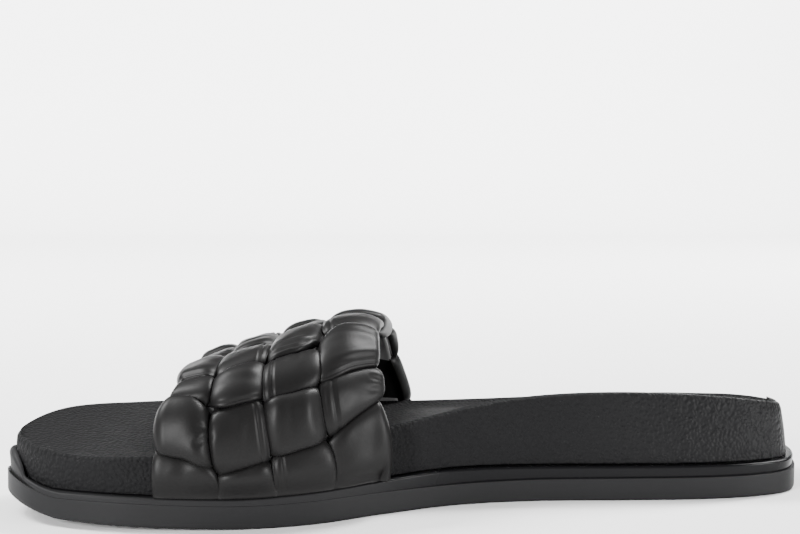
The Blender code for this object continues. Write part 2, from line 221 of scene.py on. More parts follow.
# How far the band's front and back edges lie towards the back, as shares of its width, at
# places from the medial foot to the lateral one.
EDGES = table(
    "place front back",
    (0.00, 0.000, 0.020),
    (0.10, -0.004, 0.018),
    (0.18, -0.030, 0.000),
    (0.235, 0.026, -0.004),
    (0.33, -0.016, -0.016),
    (0.45, -0.010, -0.030),
    (0.60, 0.006, 0.000),
    (0.75, -0.010, 0.004),
    (0.90, 0.004, 0.050),
    (1.00, 0.000, 0.030),
)

# Lengthwise strands: how much each one is filled, and the side of its seam, negative at its
# lower edge on the medial side of the foot. A seam of 1 has two lines, and one of 2 has one.
LENGTHWISE = table(
    "fill seam",
    (1.06, 0),
    (1.20, 0),
    (1.08, -2),
    (1.14, -2),
    (1.08, 2),
    (1.14, 2),
    (1.08, 0),
    (1.06, 0),
)

# Bulges of the padding. All but the first two sizes are in metres.
BULGES = table(
    "share place wide high height",
    (0.200, 0.102, 0.0050, 0.0072, 0.00210),
    (0.020, 0.140, 0.0050, 0.0100, -0.00050),
    (0.575, 0.155, 0.0080, 0.0070, 0.00050),
    (0.335, 0.120, 0.0060, 0.0060, 0.00035),
    (0.940, 0.110, 0.0030, 0.0090, 0.00050),
    (0.850, 0.310, 0.0100, 0.0070, 0.00030),
    (0.340, 0.230, 0.0070, 0.0070, 0.00030),
)

# Creases: soft troughs with a ridge beside them. "turn" is in degrees from the
# band's width direction towards the crown, and the other sizes are in metres.
CREASES = table(
    "share place turn length width depth",
    (0.590, 0.283, 92, 0.0026, 0.0014, 0.00035),
    (0.955, 0.205, 10, 0.0034, 0.0010, 0.00032),
    (0.960, 0.226, -8, 0.0030, 0.0009, 0.00030),
    (0.205, 0.128, 20, 0.0026, 0.0008, 0.00045),
    (0.200, 0.148, -10, 0.0024, 0.0007, 0.00040),
    (0.860, 0.261, 13, 0.0085, 0.0009, 0.00042),
    (0.585, 0.312, 8, 0.0066, 0.0009, 0.00042),
    (0.820, 0.300, 4, 0.0080, 0.0016, 0.00022),
    (0.880, 0.330, -3, 0.0070, 0.0013, 0.00020),
    (0.330, 0.225, 3, 0.0065, 0.0013, 0.00022),
    (0.380, 0.125, 85, 0.0080, 0.0016, 0.00020),
    (0.520, 0.150, 88, 0.0060, 0.0015, 0.00030),
    (0.655, 0.165, 98, 0.0055, 0.0016, 0.00022),
    (0.120, 0.050, 75, 0.0060, 0.0018, 0.00015),
    (0.300, 0.460, 5, 0.0070, 0.0015, 0.00028),
    (0.720, 0.560, 85, 0.0070, 0.0014, 0.00028),
    (0.450, 0.640, 10, 0.0070, 0.0015, 0.00028),
    (0.150, 0.700, 80, 0.0060, 0.0013, 0.00030),
    (0.850, 0.820, 5, 0.0070, 0.0014, 0.00028),
    (0.560, 0.900, 75, 0.0060, 0.0015, 0.00028),
)

# Heights of the footbed's side rings, as shares of the side.
SIDE_SHARES = (0.03, 0.06, 0.10, 0.15, 0.22, 0.31, 0.42, 0.54, 0.65, 0.74, 0.81, 0.86, 0.90)

# Where the tread's grooves start and end, as shares of the shoe's length.
TREADS = table(
    "start end",
    (0.075, 0.30),
    (0.56, 0.90),
)

# Grooves and the fine cuts between them: place in a pitch, and width and depth as shares.
CUTS = table(
    "place width depth",
    (0.00, 1.00, 1.00),
    (0.36, 0.20, 0.35),
    (0.64, 0.20, 0.35),
)

# The camera, as fitted to the photograph's 800 by 534 frame.
PHOTO_SIZE = (800, 534)
camera_azimuth = 14.0
camera_elevation = 12.4
camera_roll = 0.5
camera_distance = 0.480
camera_pixels_per_metre = 3000.0
shoe_middle_pixel = (419.8, 488.2)

# Lights: their places, the points they look at, their widths and heights, and their watts.
LIGHTS = table(
    "name place target size power",
    ("key_over", (-0.25, 0.15, 1.0), (0, 0, 0.02), (0.9, 0.6), 3.5),
    ("side_toe", (-0.80, -0.80, 0.34), (0, 0, 0.02), (0.12, 0.45), 24),
    ("side_heel", (0.88, -0.62, 0.22), (0.1, 0, 0.02), (0.22, 0.36), 13),
    ("backdrop_left", (-1.3, 0.7, 1.5), (-0.5, 2.2, 0.2), (1.2, 0.8), 175),
    ("backdrop_right", (1.3, 0.7, 1.5), (0.5, 2.2, 0.2), (1.2, 0.8), 175),
)
world_strength = 0.22


def column(rows, name):
    """One named column of a table as an array."""
    return np.array([getattr(row, name) for row in rows])


def smooth_curve(xs, ys, where):
    """A smooth curve through points, read at any place between its ends."""
    xs = np.asarray(xs, float)
    ys = np.asarray(ys, float)
    slopes = np.gradient(ys, xs)
    where = np.clip(np.asarray(where, float), xs[0], xs[-1])
    index = np.clip(np.searchsorted(xs, where) - 1, 0, len(xs) - 2)
    span = xs[index + 1] - xs[index]
    t = (where - xs[index]) / span
    rise = ys[index] * (2 * t**3 - 3 * t**2 + 1) + ys[index + 1] * (3 * t**2 - 2 * t**3)
    bend = slopes[index] * (t**3 - 2 * t**2 + t) + slopes[index + 1] * (t**3 - t**2)
    return rise + bend * span


def read(rows, key, name, where):
    """A table's column read at any place with a smooth curve through its rows."""
    return smooth_curve(column(rows, key), column(rows, name), where)


def closed_spline(points, steps):
    """A closed Catmull-Rom curve through points, with this many steps on each span."""
    p = np.asarray(points)
    before, after, beyond = np.roll(p, 1, 0), np.roll(p, -1, 0), np.roll(p, -2, 0)
    runs = []
    for i in range(len(p)):
        corners = (before[i], p[i], after[i], beyond[i])
        gaps = [np.linalg.norm(b - a) ** 0.5 for a, b in zip(corners, corners[1:])]
        knots = np.concatenate([[0.0], np.cumsum(gaps)])
        t = np.linspace(knots[1], knots[2], steps, endpoint=False)[:, None]

        def blend(a, b, first, last):
            return a * (last - t) / (last - first) + b * (t - first) / (last - first)

        one = blend(before[i], p[i], knots[0], knots[1])
        two = blend(p[i], after[i], knots[1], knots[2])
        three = blend(after[i], beyond[i], knots[2], knots[3])
        low = blend(one, two, knots[0], knots[2])
        high = blend(two, three, knots[1], knots[3])
        runs.append(blend(low, high, knots[1], knots[2]))
    return np.concatenate(runs)


def outline_curve():
    """The outsole's outline in shoe axes, from the heel's back along the medial side."""
    along = column(OUTLINE, "along") * shoe_length
    medial = -column(OUTLINE, "medial") * column(OUTLINE, "of")
    lateral = column(OUTLINE, "lateral") * column(OUTLINE, "of")
    points = [(0.0, 0.0)]
    points += list(zip(along, medial))
    points.append((shoe_length, toe_tip_share * ball_width))
    points += list(zip(along[::-1], lateral[::-1]))
    return closed_spline(points, 40)


CURVE = outline_curve()
TOE_POINT = int(np.argmax(CURVE[:, 0]))


def to_part(points):
    """Points in shoe axes turned into the part's frame."""
    made = np.array(points, float)
    made[..., 0] = shoe_length / 2 - made[..., 0]
    made[..., 1] += PART_SIDE
    return made


def side_at(along, lateral):
    """The outline's signed half width at a place along the shoe, on one side."""
    if lateral:
        run = np.concatenate([CURVE[TOE_POINT:], CURVE[:1]])[::-1]
    else:
        run = CURVE[: TOE_POINT + 1]
    return np.interp(along, run[:, 0], run[:, 1])


# The outsole's solid gives the sideways place of the shoe axes in the part's frame.
PART_SIDE = float(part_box("outsole")[0][1] - CURVE[:, 1].min())


def ground(along):
    """Height of the sole's underside: flat, with a sprung toe and a small bevel at the heel."""
    share = np.asarray(along) / shoe_length
    toe = np.clip((share - flat_end_share) / (1 - flat_end_share), 0, 1)
    tip = np.clip((share - tip_start_share) / (1 - tip_start_share), 0, 1)
    heel = np.clip((heel_flat_share - share) / heel_flat_share, 0, 1)
    toe_rise = toe_spring * toe**toe_power + tip_spring * tip**tip_power
    return toe_rise + heel_bevel * heel**heel_power


def sole_top(along):
    """Height of the outsole's upper face."""
    share = np.asarray(along) / shoe_length
    return ground(along) + outsole_thickness * read(LAYERS, "along", "outsole", share)


def ledge_top(along):
    """Height of the welt's upper face, where the footbed and the band stand."""
    share = np.asarray(along) / shoe_length
    layer = welt_thickness * read(LAYERS, "along", "welt", share)
    return sole_top(along) + piece_gap + layer


def lip_top(along):
    """Height of the welt's outer edge, which rises over its ledge at the toe tip."""
    share = np.asarray(along) / shoe_length
    tip = np.clip((share - lip_start_share) / (1 - lip_start_share), 0, 1)
    return ledge_top(along) + toe_lip * tip**lip_power


def rim_at(along, lateral):
    """Height of the footbed's rim on one side."""
    name = "lateral" if lateral else "medial"
    return rim_height * read(RIM, "along", name, along / shoe_length)


def bed_height(along, share):
    """Height of the bed. The share runs from -1 on the medial rim to 1 on the lateral rim."""
    medial = rim_at(along, False)
    lateral = rim_at(along, True)
    level = medial + (lateral - medial) * (share + 1) / 2
    ends = np.minimum(along, shoe_length - along) / (cup_depth * cup_ratio)
    ease = 1 - (1 - np.clip(ends, 0, 1)) ** 2
    depth = cup_depth * read(RIM, "along", "depth", along / shoe_length)
    return level - depth * ease * (1 - np.abs(share) ** cup_power)


def base_loop(stations):
    """Outline points: the medial side from heel to toe, then the lateral side back."""
    steps = (1 - np.cos(np.linspace(0, pi, stations + 1))) / 2
    along = CURVE[0, 0] + steps * (CURVE[TOE_POINT, 0] - CURVE[0, 0])
    medial = np.stack([along, side_at(along, False)], 1)
    lateral = np.stack([along, side_at(along, True)], 1)[-2:0:-1]
    return np.concatenate([medial, lateral])


def inset(loop, distance):
    """The loop moved inwards by a distance, along its own smoothed normals."""
    ahead = np.roll(loop, -1, 0) - loop
    behind = loop - np.roll(loop, 1, 0)
    ahead /= np.linalg.norm(ahead, axis=1)[:, None]
    behind /= np.linalg.norm(behind, axis=1)[:, None]
    run = ahead + behind
    for _ in range(4):
        run = run + np.roll(run, 1, 0) + np.roll(run, -1, 0)
        run /= np.linalg.norm(run, axis=1)[:, None]
    inward = np.stack([-run[:, 1], run[:, 0]], 1)
    if inward[len(loop) // 4, 1] < 0:
        inward = -inward
    return loop + inward * np.reshape(distance, (-1, 1))


def new_piece(name, points, faces, material, slot, *nodes):
    """A smooth mesh piece that rides on the shoe's one body and stands for CAD nodes."""
    mesh = bpy.data.meshes.new(name)
    mesh.from_pydata([tuple(map(float, p)) for p in points], [], faces)
    mesh.validate()
    mesh.shade_smooth()
    mesh.materials.append(material)
    piece = bpy.data.objects.new(name, mesh)
    bpy.context.scene.collection.objects.link(piece)
    face_outwards(piece)
    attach(piece, "root")
    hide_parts(*nodes)
    return piece


def face_outwards(piece):
    """Turns every face of a closed piece outwards."""
    work = bmesh.new()
    work.from_mesh(piece.data)
    bmesh.ops.recalc_face_normals(work, faces=work.faces)
    work.to_mesh(piece.data)
    work.free()


def band_faces(first, second, count):
    """Quads between two closed rings that start at these vertex numbers."""
    return [
        (first + i, first + (i + 1) % count, second + (i + 1) % count, second + i)
        for i in range(count)
    ]


def cap_faces(start, stations):
    """Faces that fill a ring by joining its medial and lateral points station by station."""
    count = 2 * stations
    faces = [(start, start + 1, start + count - 1)]
    for i in range(1, stations - 1):
        faces.append((start + i, start + i + 1, start + count - i - 1, start + count - i))
    faces.append((start + stations - 1, start + stations, start + stations + 1))
    return faces


def plate(rings, stations, top=True):
    """Points and faces of a plate that runs through these rings, with or without a top."""
    count = 2 * stations
    faces = cap_faces(0, stations)
    for level in range(len(rings) - 1):
        faces += band_faces(level * count, (level + 1) * count, count)
    if top:
        faces += cap_faces((len(rings) - 1) * count, stations)
    return np.concatenate(rings), faces


def ring(loop, distance, height, lift=0.0):
    """An inset copy of the loop at the height that a function gives for each point."""
    flat = inset(loop, distance)
    return np.column_stack([flat, height(flat[:, 0]) + lift])


class Value:
    """A shader socket that adds its own Math nodes when it is used in an expression."""

    def __init__(self, tree, socket):
        self.tree = tree
        self.socket = socket

    def math(self, operation, one, other):
        return self.tree.add("ShaderNodeMath", {"operation": operation}, {0: one, 1: other})

    def __add__(self, other):
        return self.math("ADD", self, other)

    __radd__ = __add__

    def __sub__(self, other):
        return self.math("SUBTRACT", self, other)

    def __rsub__(self, other):
        return self.math("SUBTRACT", other, self)

    def __mul__(self, other):
        return self.math("MULTIPLY", self, other)


class Finish:
    """A Principled material under construction."""

    def __init__(self, name, colour, specular=0.5, roughness=0.5):
        self.material = bpy.data.materials.new(name)
        self.material.use_nodes = True
        self.nodes = self.material.node_tree.nodes
        self.links = self.material.node_tree.links
        self.shader = self.nodes["Principled BSDF"]
        self.shader.inputs["Base Color"].default_value = (*colour, 1)
        self.shader.inputs["Roughness"].default_value = roughness
        self.shader.inputs["Specular IOR Level"].default_value = specular
        self.place = self.add("ShaderNodeTexCoord", {}, {}, "Object")

    def add(self, kind, settings, inputs, output=0):
        """Adds a node: its settings first, then the values or links of its sockets."""
        node = self.nodes.new(kind)
        for name, value in settings.items():
            setattr(node, name, value)
        for name, value in inputs.items():
            value = value.socket if isinstance(value, Value) else value
            if isinstance(value, bpy.types.NodeSocket):
                self.links.new(value, node.inputs[name])
            else:
                node.inputs[name].default_value = value
        return Value(self, node.outputs[output])

    def drive(self, name, value):
        """Links a varying value to one of the shader's sockets."""
        self.links.new(value.socket, self.shader.inputs[name])

    def noise(self, size, detail=2.0, roughness=0.5):
        """Noise whose blobs are about this size in metres."""
        inputs = {"Vector": self.place, "Scale": 1 / size, "Detail": detail, "Roughness": roughness}
        return self.add("ShaderNodeTexNoise", {}, inputs, "Fac")

    def bump(self, height, distance, strength=1.0, under=None):
        """A Bump node over another one. The distance is the height's real depth."""
        inputs = {"Height": height, "Distance": distance, "Strength": strength}
        if under:
            inputs["Normal"] = under
        return self.add("ShaderNodeBump", {}, inputs, "Normal")

    def blend(self, share, one, other):
        """A colour between two colours, by a share from 0 to 1."""
        inputs = {0: share, 6: (*one, 1), 7: (*other, 1)}
        return self.add("ShaderNodeMix", {"data_type": "RGBA"}, inputs, 2)

    def ramp(self, value, low, high):
        """A value mapped from one range to 0 and 1, with soft ends."""
        inputs = {"Value": value, "From Min": low, "From Max": high}
        settings = {"interpolation_type": "SMOOTHSTEP"}
        return self.add("ShaderNodeMapRange", settings, inputs)

    def front(self, low, high):
        """1 towards the toe and 0 towards the heel, with a soft change between two places."""
        along = self.add("ShaderNodeSeparateXYZ", {}, {0: self.place})
        return 1 - self.ramp(along, low, high)


def band_leather(colours):
    """Smooth, soft faux leather of the strands: faint creasing and a silky sheen."""
    finish = Finish("band_leather", colours.strands, specular=0.11)
    patch = finish.noise(0.018)
    grain = finish.noise(0.00055)
    crease = finish.noise(0.0035, 3.0, 0.6)
    finish.drive("Roughness", 0.37 + patch * 0.10)
    soft = finish.bump(crease, 0.00008, 0.6)
    finish.drive("Normal", finish.bump(grain, 0.00003, 0.55, soft))
    return finish.material


def lining_cloth(colours):
    """Matt lining under the band, its colour lightened: painted light inside the band."""
    finish = Finish("band_lining", colours.lining, roughness=0.75)
    grain = finish.noise(0.0006)
    finish.drive("Normal", finish.bump(grain, 0.00004, 0.6))
    return finish.material


def pebbled_cover(colours):
    """Pebbled faux leather round the footbed: raised grains parted by fine valleys."""
    finish = Finish("pebbled_cover", colours.footbed, specular=0.085)
    warp = finish.noise(0.004)
    vector = "ShaderNodeVectorMath"
    inputs = {0: (1.0, 1.0, 1.0), "Scale": (warp - 0.5) * 0.0022}
    shift = finish.add(vector, {"operation": "SCALE"}, inputs, "Vector")
    place = finish.add(vector, {"operation": "ADD"}, {0: finish.place, 1: shift}, "Vector")
    inputs = {"Vector": place, "Scale": 1 / 0.0012, "Smoothness": 0.35, "Randomness": 1.0}
    grains = finish.add("ShaderNodeTexVoronoi", {"feature": "SMOOTH_F1"}, inputs, "Distance")
    fine = finish.noise(0.0005)
    height = 1 - grains * 1.3 + fine * 0.12
    finish.drive("Normal", finish.bump(height, 0.00034, 1.0))
    patch = finish.noise(0.02)
    matt = finish.front(0.035, 0.085)
    finish.drive("Roughness", 0.40 + patch * 0.08 + grains * 0.10 + matt * 0.25)
    return finish.material


def welt_gloss(colours):
    """Smooth glossy welt, which takes the outsole's satin look under the ball."""
    finish = Finish("welt_gloss", colours.welt, specular=0.08)
    patch = finish.noise(0.012)
    front = finish.front(-0.045, 0.010)
    finish.drive("Roughness", 0.20 + patch * 0.08 + front * 0.32)
    finish.drive("Base Color", finish.blend(front, colours.welt, colours.outsole))
    wave = finish.noise(0.006)
    finish.drive("Normal", finish.bump(wave, 0.00004, 0.4))
    return finish.material


def sole_rubber(colours):
    """Satin rubber of the outsole, with a faint mould texture."""
    finish = Finish("sole_rubber", colours.outsole, specular=0.08)
    patch = finish.noise(0.02)
    grain = finish.noise(0.0004)
    finish.drive("Roughness", 0.44 + patch * 0.12)
    finish.drive("Normal", finish.bump(grain, 0.00003, 0.5))
    return finish.material


def foot_post(along, lateral):
    """The foot of the arch on one side: its lowest point and the top of its upright part."""
    inward = -1 if lateral else 1
    side = side_at(along, lateral) + inward * (welt_setback + welt_ledge - upper_clearance)
    low = ledge_top(along) + piece_gap
    rise = upright_share * (rim_at(along, lateral) - low)
    lean = rim_lean * read(RIM, "along", "lean", along / shoe_length)
    top = (along, side + inward * lean * upright_share, low + rise)
    return np.array([(along, side, low), top])


def arch_line(band_share, places):
    """The arch's inner face at one share of the band's width, at shares of its own length."""
    medial_along = float(shoe_length * read(BAND, "across", "medial", band_share))
    lateral_along = float(shoe_length * read(BAND, "across", "lateral", band_share))
    crown = instep_height * read(BAND, "across", "crown", band_share)
    power = 2 / read(BAND, "across", "square", band_share)
    medial = foot_post(medial_along, False)
    lateral = foot_post(lateral_along, True)
    theta = np.linspace(0, pi, 481)
    sweep = (1 - np.sign(np.cos(theta)) * np.abs(np.cos(theta)) ** power) / 2
    rise = np.abs(np.sin(theta)) ** power
    arch = medial[1] + (lateral[1] - medial[1]) * sweep[:, None]
    arch[:, 0] -= upper_front_bow * (1 - band_share) * rise**2
    arch[:, 0] += upper_back_bow * band_share * rise
    arch[:, 1] -= upper_crown_shift * rise**2
    arch[:, 2] += (crown - arch[:, 2]) * rise
    line = np.concatenate([medial[:1], arch, lateral[:1]])
    steps = np.linalg.norm(np.diff(line, axis=0), axis=1)
    length = np.concatenate([[0.0], np.cumsum(steps)])
    where = np.asarray(places) * length[-1]
    return np.stack([np.interp(where, length, line[:, k]) for k in range(3)], 1)


class BandSurface:
    """The inner face of the band as a smooth surface, with its outward normals."""

    def __init__(self, columns=65, places=257):
        self.shares = np.linspace(0, 1, columns)
        self.places = np.linspace(0, 1, places)
        lines = [arch_line(share, self.places) for share in self.shares]
        self.grid = to_part(np.array(lines))
        back = np.clip((self.shares - 0.80) / 0.20, 0, 1) ** 2
        self.grid[:, :, 2] -= back_fall * back[:, None] * np.sin(pi * self.places) ** 2
        for _ in range(10):
            inner = self.grid[:, 1:-1]
            inner += (self.grid[:, :-2] + self.grid[:, 2:] - 2 * inner) * 0.25
        over = np.gradient(self.grid, axis=1)
        along = np.gradient(self.grid, axis=0)
        normal = np.cross(over, along)
        normal /= np.linalg.norm(normal, axis=2)[:, :, None]
        if normal[columns // 2, places // 2, 2] < 0:
            normal = -normal
        self.normal = normal
        self.width = float(np.linalg.norm(along[:, places // 8], axis=1).sum())
        self.length = float(np.linalg.norm(over[columns // 2], axis=1).sum())

    def lookup(self, table, share, place):
        """A table of the surface read at a share of its width and a share of its length."""
        i = np.clip(share, 0, 1) * (len(self.shares) - 1)
        j = np.clip(place, 0, 1) * (len(self.places) - 1)
        i0 = np.clip(np.floor(i).astype(int), 0, len(self.shares) - 2)
        j0 = np.clip(np.floor(j).astype(int), 0, len(self.places) - 2)
        s = (i - i0)[..., None]
        t = (j - j0)[..., None]
        low = table[i0, j0] * (1 - t) + table[i0, j0 + 1] * t
        high = table[i0 + 1, j0] * (1 - t) + table[i0 + 1, j0 + 1] * t
        return low * (1 - s) + high * s

    def point(self, share, place, height):
        """A point over the surface. Past the band's edges the surface goes straight on."""
        step = 0.01
        base = self.lookup(self.grid, share, place)
        inside = np.clip(share, step, 1 - step)
        ahead = self.lookup(self.grid, inside + step, place)
        behind = self.lookup(self.grid, inside - step, place)
        base = base + (ahead - behind) / (2 * step) * (share - np.clip(share, 0, 1))[..., None]
        inside = np.clip(place, step, 1 - step)
        ahead = self.lookup(self.grid, share, inside + step)
        behind = self.lookup(self.grid, share, inside - step)
        base = base + (ahead - behind) / (2 * step) * (place - np.clip(place, 0, 1))[..., None]
        return base + self.lookup(self.normal, share, place) * height[..., None]


def over_borders(place):
    """Borders between the strands over the foot at each place, front edge to back edge."""
    backs = column(OVERS, "middle") + column(OVERS, "half")
    shift = read(DRIFTS, "place", "shift", place)
    front = read(EDGES, "place", "front", place)
    back_edge = 1 + read(EDGES, "place", "back", place)
    return np.stack([front, *[back + shift for back in backs[:-1]], back_edge])


def marks_of(index, share):
    """Ends of a strand's crossings at each share of the band's width, foot to foot."""
    row = OVERS[index]
    marks = [row.one, row.two, row.three, row.four, row.five, row.six, row.seven]
    slants = [row.slant_one, row.slant_two, row.slant_three, 0, 0, 0, 0]
    away = share - row.middle
    inner = [mark + slant * away for mark, slant in zip(marks, slants)]
    first = np.minimum(inner[0] - hidden_length, -0.03)
    return np.stack([first, *inner, np.maximum(inner[-1] + hidden_length, 1.03)])


def row_marks(share):
    """Ends of the crossings at each share, blended from strand to strand."""
    middles = column(OVERS, "middle")
    each = np.array([marks_of(index, share) for index in range(len(OVERS))])
    weight = np.clip(np.asarray(share), middles[0], middles[-1])
    made = []
    for k in range(each.shape[1]):
        nearest = np.clip(np.searchsorted(middles, weight) - 1, 0, len(middles) - 2)
        t = (weight - middles[nearest]) / (middles[nearest + 1] - middles[nearest])
        t = t * t * (3 - 2 * t)
        here = np.take_along_axis(each[:, k], nearest[None], 0)[0]
        there = np.take_along_axis(each[:, k], nearest[None] + 1, 0)[0]
        made.append(here * (1 - t) + there * t)
    return np.array(made)


def lobe(phase):
    """Height share of a strand over one crossing at phase -1..1: a flat top and round ends."""
    near = np.clip(np.abs(phase) / 1.08, 0, 1)
    return (1 - near**lobe_power) ** lobe_round * (1 - 0.10 * near**2)


def corner(phase, flat):
    """How a lobe falls away towards its corners."""
    return 1 - corner_loss * (np.abs(phase) * np.abs(flat)) ** 5


def crossing_phase(where, marks):
    """The number of the crossing that holds each place, and the phase in it, -1 to 1."""
    cell = np.zeros(where.shape, int)
    for k in range(1, len(marks) - 1):
        cell += where > marks[k]
    low = np.take_along_axis(marks, cell[None], 0)[0]
    high = np.take_along_axis(marks, cell[None] + 1, 0)[0]
    return cell, 2 * (where - low) / (high - low) - 1


def at_foot(surface, place):
    """1 over the ledge on both sides of the shoe, falling to 0 a little higher up."""
    away = np.minimum(place, 1 - place) * surface.length
    return np.exp(-((np.maximum(away, 0) / foot_height) ** 2))


def section(around):
    """Points of a strand's section at even steps: how far across, and how far up."""
    angle = np.linspace(0, 2 * pi, 1441)
    flat = np.sign(np.cos(angle)) * np.abs(np.cos(angle)) ** (2 / section_flatness)
    high = np.sign(np.sin(angle)) * np.abs(np.sin(angle)) ** (2 / section_roundness)
    run = np.hypot(np.diff(flat) * section_wide, np.diff(high))
    length = np.concatenate([[0.0], np.cumsum(run)])
    where = np.linspace(0, length[-1], around, endpoint=False)
    return np.interp(where, length, flat), np.interp(where, length, high)


def soft_noise(share, place, size, seed):
    """Smooth noise over the band from a few seeded waves, about -1 to 1."""
    draw = np.random.default_rng(seed)
    total = 0.0
    waves = 9
    for _ in range(waves):
        heading = draw.uniform(0, 2 * pi)
        scale = 2 * pi / (size * draw.uniform(1.2, 3.0))
        run = share * 0.07 * cos(heading) + place * 0.135 * sin(heading)
        total = total + np.sin(run * scale + draw.uniform(0, 2 * pi))
    return total / waves * 1.7


def crease_depth(surface, share, place):
    """How far the listed creases lower or raise the leather."""
    total = np.zeros(share.shape)
    for crease in CREASES:
        across = (share - crease.share) * surface.width
        over = (place - crease.place) * surface.length
        turn = radians(crease.turn)
        run = across * cos(turn) + over * sin(turn)
        side = over * cos(turn) - across * sin(turn)
        fade = np.exp(-((run / crease.length) ** 4))
        trough = np.exp(-((side / crease.width) ** 2))
        ridge = np.exp(-(((side - 1.9 * crease.width) / crease.width) ** 2))
        total += crease.depth * fade * (0.55 * ridge - trough)
    return total


def bulge_height(surface, share, place):
    """How far the listed bulges raise the leather."""
    total = np.zeros(share.shape)
    for bulge in BULGES:
        across = (share - bulge.share) * surface.width / bulge.wide
        over = (place - bulge.place) * surface.length / bulge.high
        total += bulge.height * np.exp(-(across**2) - over**2)
    return total


def seam_depth(flat, seam):
    """The two stitched-down lines of a strand's flat seam, which lies along one edge."""
    if not seam:
        return 0.0
    across = flat * np.sign(seam)
    place = 0.66 if abs(seam) == 1 else 0.88
    lines = np.exp(-(((across - place) / 0.035) ** 2))
    if abs(seam) == 1:
        lines = lines + np.exp(-(((across - 0.91) / 0.030) ** 2))
    flange = np.clip((across - place + 0.06) / 0.06, 0, 1) * np.clip((0.98 - across) / 0.08, 0, 1)
    return seam_line_depth * lines + seam_flange_depth * flange


def leather_height(surface, sizes, share, place, flat, high, swell, seam, fill, seed):
    """Height over the band's inner face of each point of a strand."""
    swell = swell * (1 - foot_loss * at_foot(surface, place))
    thick = sizes.thin + (sizes.thick * fill - sizes.thin) * swell
    middle = sizes.lining + sizes.under + (sizes.over * fill - sizes.under) * swell
    top = np.clip(high, 0, 1) * swell
    relief = (
        crease_depth(surface, share, place)
        + bulge_height(surface, share, place)
        - seam_depth(flat, seam)
        + wrinkle_height * soft_noise(share, place, wrinkle_size, seed)
        + ripple_height * soft_noise(share, place, ripple_size, seed + 50)
    )
    return middle, thick, relief * top


def tube_faces(count, around):
    """Faces of a closed tube of rings, with a face at each end."""
    faces = []
    for k in range(count - 1):
        faces += band_faces(k * around, (k + 1) * around, around)
    faces.append(tuple(range(around)))
    faces.append(tuple(range((count - 1) * around, count * around)))
    return faces


def keep_over_ledge(points):
    """Points held just over the welt's upper face."""
    along = np.clip(shoe_length / 2 - points[..., 0], 0, shoe_length)
    floor = ledge_top(along) + piece_gap
    points[..., 2] = np.maximum(points[..., 2], floor)
    return points


def over_strand(surface, index, sizes):
    """Points and faces of a strand that runs over the foot, over and under the others."""
    row = OVERS[index]
    steps, around = 330, 92
    flat, high = section(around)
    place = np.linspace(-0.012, 1.012, steps)[:, None]
    borders = over_borders(np.clip(place, 0, 1))
    front, back = borders[index], borders[index + 1]
    middle, half = (front + back) / 2, (back - front) / 2
    share = middle + flat * half
    place = place + 0 * share
    cell, phase = crossing_phase(place, marks_of(index, share))
    swell, pinch = swelling((cell + index) % 2 == 0, phase, flat)
    share = middle + flat * half * (over_width + swell_width * swell) * pinch
    fill = 0.93 + 0.04 * sin(index * 2.3)
    centre, thick, relief = leather_height(
        surface, sizes, share, place, flat, high, swell, row.seam, fill, 11 + index
    )
    points = keep_over_ledge(surface.point(share, place, centre + high * thick + relief))
    return points.reshape(-1, 3), tube_faces(steps, around)


def swelling(on_top, phase, flat):
    """A strand's swell over its crossings, and how its width draws in at their ends."""
    swell = np.where(on_top, lobe(phase) * corner(phase, flat), 0.0)
    for _ in range(2):
        swell = swell.copy()
        swell[1:-1] = (swell[:-2] + 2 * swell[1:-1] + swell[2:]) / 4
    return swell, np.where(on_top, 1 - end_pinch * np.abs(phase) ** 5, under_width)


def turned_end(top, sizes, width):
    """Path of a strand's end that turns round the band's edge: shares, heights and headings."""
    low = sizes.lining * 0.5
    radius = (top - low) / 2
    edge = radius + sizes.turn_half
    angle = np.linspace(0, pi, 26)[1:]
    out = edge - radius * np.sin(angle)
    height = low + radius * (1 + np.cos(angle))
    under = np.linspace(0, sizes.tuck, 14)[1:]
    shares = np.concatenate([out, edge + under]) / width
    heights = np.concatenate([height, np.full(len(under), low)])
    headings = np.concatenate([angle, np.full(len(under), pi)])
    return shares, heights, headings, edge / width


